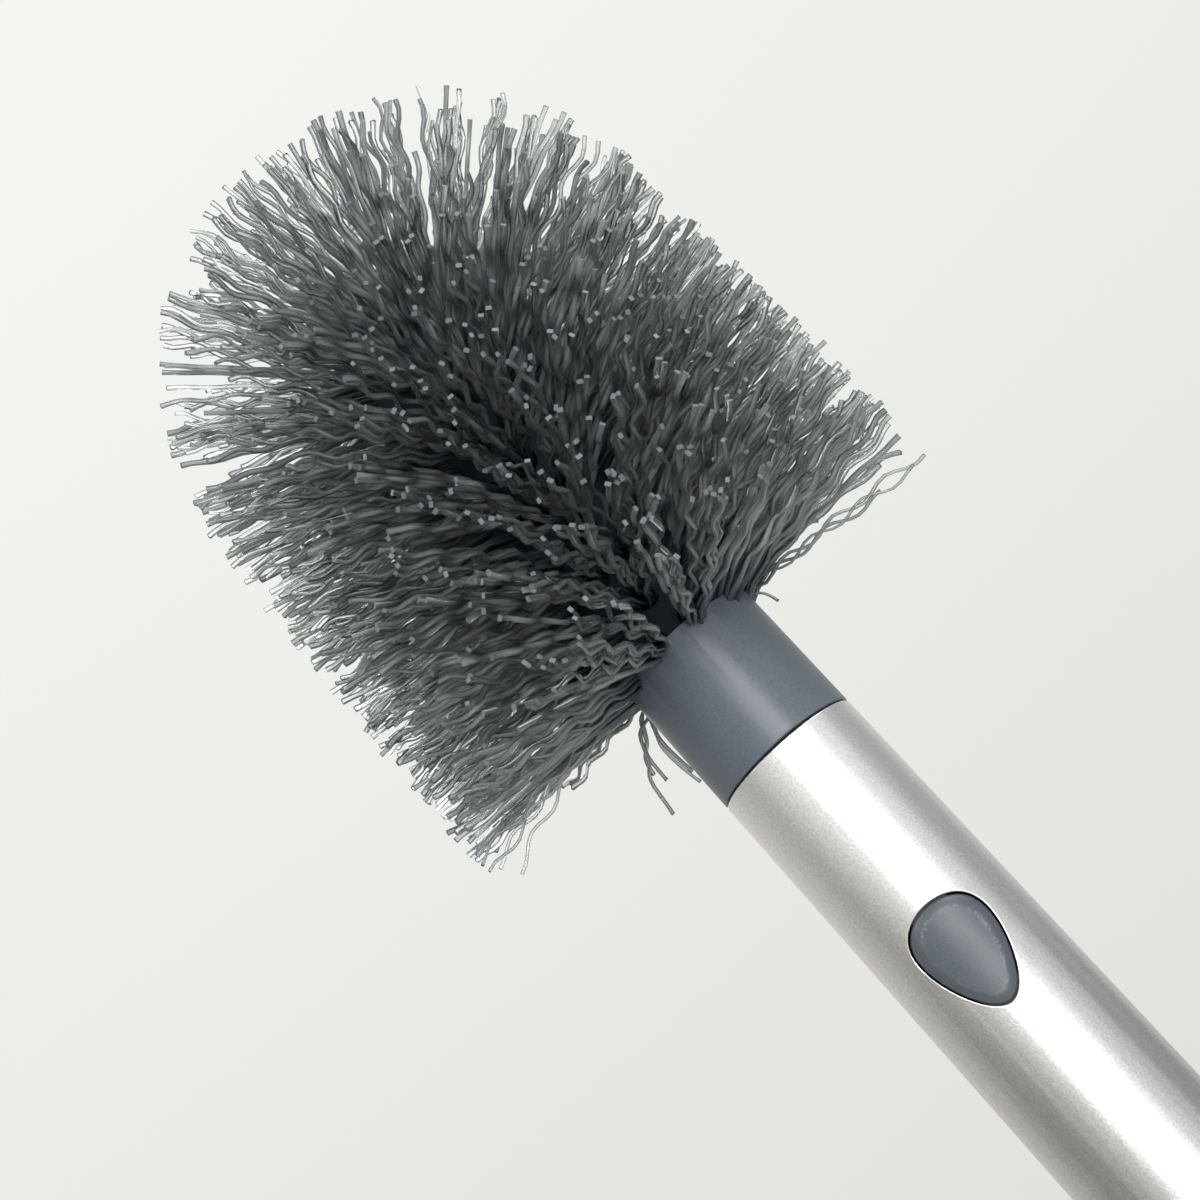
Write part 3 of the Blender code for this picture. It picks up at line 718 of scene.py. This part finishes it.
def stray_paths():
    """Centre lines of the first ring's loose filaments, bent away from their tufts, and cross directions."""
    paths, crosses = [], []
    for root_turn, radius, tip_turn, rise, start, _ in STRAYS:
        turn, end = math.radians(root_turn), math.radians(tip_turn)
        out = np.array((math.sin(turn), -math.cos(turn), 0))
        root = TUBE_RADIUS * out + (0, 0, FIRST_ROW_Z)
        tip = np.array((radius * math.sin(end), -radius * math.cos(end), rise)) * MM + (0, 0, FIRST_ROW_Z)
        span = np.linalg.norm(tip - root)
        share = SHARES[:, None]
        path = (1 - share) ** 2 * (root - ROOT_DEPTH * out)
        path = path + 2 * share * (1 - share) * (root + STRAY_LEAD * span * out) + share**2 * tip
        direction = unit(tip - root)
        wave = unit(np.cross(np.cross(direction, (0, 0, 1)), direction))
        grown = np.clip(2 * span * SHARES / CRIMP_GROWTH - 0.5, 0, 1)
        crimp = STRAY_CRIMP * grown * np.sin(2 * math.pi * (span * SHARES / CRIMP_PITCH + start))
        paths.append(path + crimp[:, None] * wave)
        crosses.append(np.cross(direction, wave))
    return np.array(paths), np.array(crosses)


def grow_filaments(name, paths, crosses, rng, stands_for, loose=()):
    """Grow a mesh of filaments from small faces drawn out station by station.

    The last ones are loose, and come with their shades.
    """
    paths, crosses = np.concatenate(paths), np.concatenate(crosses)
    count = len(paths)
    tangent = unit(np.gradient(paths, axis=1))
    first = unit(np.cross(tangent, crosses[:, None]))
    second = np.cross(tangent, first)
    turns = np.radians([45, 135, 225, 315])
    thin, wide = FILAMENT_RADII
    offset = thin * np.cos(turns)[:, None] * first[:, :, None]
    offset = offset + wide * np.sin(turns)[:, None] * second[:, :, None]
    offset[:, -1] *= CUT_FLARE
    size = (1 + rng.normal(0, 0.06, count)).clip(0.85, 1.15)
    shades = rng.uniform(0, 1, count)
    size[count - len(loose):] *= STRAY_SIZE
    shades[count - len(loose):] = loose
    rings = paths[:, :, None] + offset * size[:, None, None, None]

    bm = bmesh.new()
    corner_of = bm.verts.layers.int.new("corner")
    along = bm.verts.layers.float.new("along")
    shade = bm.verts.layers.float.new("shade")
    filament_of = bm.faces.layers.int.new("filament")
    faces = []
    for filament in range(count):
        corners = [bm.verts.new(point) for point in rings[filament, 0]]
        for corner, vert in enumerate(corners):
            vert[corner_of] = corner
            vert[shade] = shades[filament]
        face = bm.faces.new(corners)
        face[filament_of] = filament
        face.smooth = True
        faces.append(face)
    for station in range(1, STATIONS):
        faces = bmesh.ops.extrude_discrete_faces(bm, faces=faces)["faces"]
        level = SHARES[station]
        for face in faces:
            ring = rings[face[filament_of], station]
            for vert in face.verts:
                vert.co = ring[vert[corner_of]]
                vert[along] = level
    for face in faces:
        face.material_index = 1
        face.smooth = False
        for edge in face.edges:
            edge.smooth = False
    bmesh.ops.recalc_face_normals(bm, faces=bm.faces)
    return add_piece(name, bm, [FILAMENT, CUT_END], "head", stands_for)


def make_row(index, rng):
    """A ring of tufts, which leans forward at the front and as use left it at the rear."""
    paths, crosses = [], []
    share = index / (ROWS - 1)
    for tuft in range(TUFTS_PER_ROW):
        angle, z = tuft_place(index, tuft)
        sides = (1, math.cos(angle), math.sin(angle), math.cos(angle) ** 2)
        rear = sum(lean * side for lean, side in zip(REAR_LEAN, sides))
        lean = share**3 * FRONT_LEAN + (1 - share) ** 2 * rear
        out = (math.sin(angle), -math.cos(angle), 0)
        root = (TUBE_RADIUS * out[0], TUBE_RADIUS * out[1], z)
        fan_up = FAN_UP if index else FIRST_FAN_UP
        early = (1 - share) ** 2
        path, cross = tuft_paths(rng, root, out, (0, 0, 1), lean, FILAMENTS, FAN_SIDE, fan_up, early)
        paths.append(path)
        crosses.append(cross)
    loose = ()
    if index == 0:
        path, cross = stray_paths()
        paths.append(path)
        crosses.append(cross)
        loose = [row[-1] for row in STRAYS]
    grow_filaments(f"tufts_row_{index + 1}", paths, crosses, rng, [f"bristle_row_{index + 1}"], loose)


def make_nose(rng):
    """The tufts on the core's dome, ring by ring."""
    paths, crosses = [], []
    for tilt, count in NOSE_RINGS:
        for tuft in range(count):
            angle = 2 * math.pi * (tuft + 0.25) / count
            across = np.array((math.sin(angle), -math.cos(angle), 0))
            out = across * math.sin(tilt) + np.array((0, 0, math.cos(tilt)))
            up = np.array((0, 0, math.sin(tilt))) - across * math.cos(tilt)
            root = np.array((0, 0, NOSE_Z)) + out * TUBE_RADIUS
            path, cross = tuft_paths(rng, root, out, up, 0, NOSE_FILAMENTS, NOSE_FAN, NOSE_FAN)
            paths.append(path)
            crosses.append(cross)
    grow_filaments("tufts_nose", paths, crosses, rng, ["bristle_nose"])


def smooth_copy(node_name, name, look, body):
    """A merged, smooth-shaded copy of a CAD node that stands for it."""
    bm = bmesh.new()
    bm.from_mesh(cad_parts[node_name].data)
    bmesh.ops.remove_doubles(bm, verts=bm.verts, dist=MERGE)
    piece = add_piece(name, bm, [look], body, [node_name])
    smooth(piece)
    return piece


def make_hidden_works():
    """The shank, its latch leaf and the bush in the tube's mouth."""
    smooth_copy("spigot", "shank", DARK, "head")
    smooth_copy("socket_liner", "socket_bush", DARK, "handle")
    leaf = smooth_copy("latch_spring", "latch_leaf", STEEL, "head")
    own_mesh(leaf)


# Studio
CAMERA_PLACE = Vector((-0.8 * MM, -231.9 * MM, TUBE_TOP + SEAM_GAP / 2 - 44.4 * MM))
CAMERA_TURN = math.radians(1.03)
CAMERA_TILT = math.radians(18.83)
CAMERA_ROLL = math.radians(41.9)
LENS = 51.5
SENSOR = 36.0
PALE_HIGH = linear(244, 246, 242)
PALE_LOW = linear(221, 224, 218)
BACKDROP_SPAN = (-0.2, 0.7)  # heights, as the sine of the elevation, between which it turns paler
WORLD_LEVEL = 0.38
TENT_RADIUS = 1.6
TENT_ENDS = (-0.6, 1.6)
TENT_HEIGHTS = (0.05, 0.52)
TENT_LEVELS = (  # (turn from -Y in degrees, level at the lower height, level at the upper height)
    (-180, 0.60, 0.80),
    (-144, 0.57, 0.75),
    (-118, 0.44, 0.68),
    (-99, 0.32, 0.60),
    (-84, 0.17, 0.57),
    (-70, 0.11, 0.51),
    (-57, 0.11, 0.66),
    (-45, 0.23, 0.75),
    (-33, 0.33, 0.95),
    (-22, 0.46, 0.98),
    (0, 0.72, 1.00),
    (57, 0.69, 0.97),
    (70, 0.58, 0.81),
    (84, 0.32, 0.60),
    (99, 0.23, 0.44),
    (118, 0.21, 0.48),
    (144, 0.48, 0.69),
    (180, 0.60, 0.80),
)
TENT_WARMTH = (1.0, 0.975, 0.92)  # on the -X side
SOFTBOXES = (  # (name, place, what it points at, size, power)
    ("front window", (0.44, -1.43, 0.4), (0, 0, 0.3), (1.1, 2.0), 3.2),
    ("front strip", (0.14, -1.35, 0.4), (0, 0, 0.28), (0.17, 0.95), 5.5),
    ("side strip", (0.51, -1.26, 0.4), (0, 0, 0.28), (0.17, 0.95), 7.5),
    ("back", (-0.3, 1.5, 0.8), (0, 0, 0.25), (0.8, 1.6), 4),
    ("top", (1.05, -0.35, 1.45), (0, 0, 0.28), (1.0, 1.0), 15),
    ("left fill", (-0.8, -0.6, 1.5), (0, 0, 0.33), (1.0, 1.0), 10),
)
FLOOR_RADIUS = 1.1
FLOOR_FADE = (0.2, 1.0)  # distances from the middle between which the floor fades
FLOOR_TONES = (linear(220, 222, 218), linear(226, 228, 224))


def make_camera():
    """The camera at the photograph's place, turned by its bearing, tilt and roll."""
    level_ahead = Vector((-math.sin(CAMERA_TURN), math.cos(CAMERA_TURN), 0))
    ahead = level_ahead * math.cos(CAMERA_TILT) + Vector((0, 0, math.sin(CAMERA_TILT)))
    level_right = Vector((math.cos(CAMERA_TURN), math.sin(CAMERA_TURN), 0))
    level_up = level_right.cross(ahead)
    up = level_up * math.cos(CAMERA_ROLL) + level_right * math.sin(CAMERA_ROLL)
    right = level_right * math.cos(CAMERA_ROLL) - level_up * math.sin(CAMERA_ROLL)
    turn = Matrix((right, up, -ahead)).transposed()
    camera = bpy.data.objects.new("camera", bpy.data.cameras.new("camera"))
    camera.data.sensor_width = SENSOR
    camera.data.lens = LENS
    camera.data.clip_start = 0.01
    camera.matrix_world = Matrix.Translation(CAMERA_PLACE) @ turn.to_4x4()
    bpy.context.scene.collection.objects.link(camera)
    bpy.context.scene.camera = camera


def make_world():
    """A pale backdrop on all sides, and an even soft light from it."""
    world = bpy.data.worlds.new("studio")
    bpy.context.scene.world = world
    world.use_nodes = True
    tree = world.node_tree
    tree.nodes.clear()
    place = node(tree, "ShaderNodeTexCoord")
    parts = node(tree, "ShaderNodeSeparateXYZ")
    tree.links.new(place.outputs["Generated"], parts.inputs["Vector"])
    height = spread(tree, parts.outputs["Z"], 0, 1, *BACKDROP_SPAN)
    seen = node(tree, "ShaderNodeBackground")
    tree.links.new(two_tone(tree, height, PALE_LOW, PALE_HIGH), seen.inputs["Color"])
    light = node(tree, "ShaderNodeBackground")
    light.inputs["Color"].default_value = (1, 1, 1, 1)
    light.inputs["Strength"].default_value = WORLD_LEVEL
    ray = node(tree, "ShaderNodeLightPath")
    straight = worked(tree, "MAXIMUM", ray.outputs["Is Camera Ray"], ray.outputs["Is Glossy Ray"])
    clear = worked(tree, "MAXIMUM", straight, ray.outputs["Is Transmission Ray"])
    mix = node(tree, "ShaderNodeMixShader")
    tree.links.new(clear, mix.inputs["Fac"])
    tree.links.new(light.outputs["Background"], mix.inputs[1])
    tree.links.new(seen.outputs["Background"], mix.inputs[2])
    out = node(tree, "ShaderNodeOutputWorld")
    tree.links.new(mix.outputs["Shader"], out.inputs["Surface"])


def make_tent():
    """A round light tent, darker at the sides and towards its foot, that only shiny surfaces see."""
    bm = bmesh.new()
    corners = [bm.verts.new((TENT_RADIUS, 0, z)) for z in TENT_ENDS]
    edge = bm.edges.new(corners)
    bmesh.ops.spin(
        bm, geom=[*corners, edge], cent=(0, 0, 0), axis=(0, 0, 1),
        angle=2 * math.pi, steps=96, use_merge=True,
    )
    mesh = bpy.data.meshes.new("tent")
    bm.to_mesh(mesh)
    bm.free()
    tent = bpy.data.objects.new("tent", mesh)
    bpy.context.scene.collection.objects.link(tent)
    material = bpy.data.materials.new("tent")
    material.use_nodes = True
    tree = material.node_tree
    tree.nodes.clear()
    place = node(tree, "ShaderNodeTexCoord")
    parts = node(tree, "ShaderNodeSeparateXYZ")
    tree.links.new(place.outputs["Object"], parts.inputs["Vector"])
    front = worked(tree, "MULTIPLY", parts.outputs["Y"], -1)
    turn = worked(tree, "ARCTAN2", parts.outputs["X"], front)
    share = spread(tree, turn, 0, 1, -math.pi, math.pi)
    light = node(tree, "ShaderNodeMix", data_type="RGBA")
    tree.links.new(spread(tree, parts.outputs["Z"], 0, 1, *TENT_HEIGHTS), light.inputs["Factor"])
    for socket, column in (("A", 1), ("B", 2)):
        ramp = node(tree, "ShaderNodeValToRGB")
        tree.links.new(share, ramp.inputs["Fac"])
        stops = ramp.color_ramp.elements
        while len(stops) < len(TENT_LEVELS):
            stops.new(0.5)
        for stop, row in zip(stops, TENT_LEVELS):
            warmth = TENT_WARMTH if row[0] < 0 else (1, 1, 0.99)
            stop.position = row[0] / 360 + 0.5
            stop.color = (*(row[column] * part for part in warmth), 1)
        tree.links.new(ramp.outputs["Color"], light.inputs[socket])
    glow = node(tree, "ShaderNodeEmission")
    tree.links.new(light.outputs["Result"], glow.inputs["Color"])
    out = node(tree, "ShaderNodeOutputMaterial")
    tree.links.new(glow.outputs["Emission"], out.inputs["Surface"])
    mesh.materials.append(material)
    tent.visible_camera = False
    tent.visible_diffuse = False
    tent.visible_transmission = False
    tent.visible_shadow = False


def add_softbox(name, place, target, size, power):
    """A rectangular lamp that the camera doesn't see."""
    light = bpy.data.lights.new(name, "AREA")
    light.shape = "RECTANGLE"
    light.size, light.size_y = size
    light.energy = power
    lamp = bpy.data.objects.new(name, light)
    lamp.location = place
    lamp.rotation_euler = (Vector(target) - Vector(place)).to_track_quat("-Z", "Y").to_euler()
    lamp.visible_camera = False
    bpy.context.scene.collection.objects.link(lamp)


def make_floor():
    """A pale floor that fades into the backdrop."""
    bm = bmesh.new()
    bmesh.ops.create_circle(bm, cap_ends=True, segments=96, radius=FLOOR_RADIUS)
    mesh = bpy.data.meshes.new("floor")
    bm.to_mesh(mesh)
    bm.free()
    floor = bpy.data.objects.new("floor", mesh)
    bpy.context.scene.collection.objects.link(floor)
    material, tree, shader = new_material("floor", 0.9)
    tone = object_noise(tree, 2.0)
    tree.links.new(two_tone(tree, tone, *FLOOR_TONES), shader.inputs["Base Color"])
    place = node(tree, "ShaderNodeTexCoord")
    distance = node(tree, "ShaderNodeVectorMath", operation="LENGTH")
    tree.links.new(place.outputs["Object"], distance.inputs[0])
    tree.links.new(spread(tree, distance.outputs["Value"], 1, 0, *FLOOR_FADE), shader.inputs["Alpha"])
    mesh.materials.append(material)


def main():
    """The studio first, then every piece."""
    make_camera()
    make_world()
    make_floor()
    for softbox in SOFTBOXES:
        add_softbox(*softbox)
    make_tent()
    make_tube()
    make_end_cap()
    make_button()
    make_sleeve()
    make_core()
    make_hidden_works()
    rng = np.random.default_rng(SEED)
    for index in range(ROWS):
        make_row(index, rng)
    make_nose(rng)
    bpy.context.scene.view_settings.view_transform = "Standard"


main()
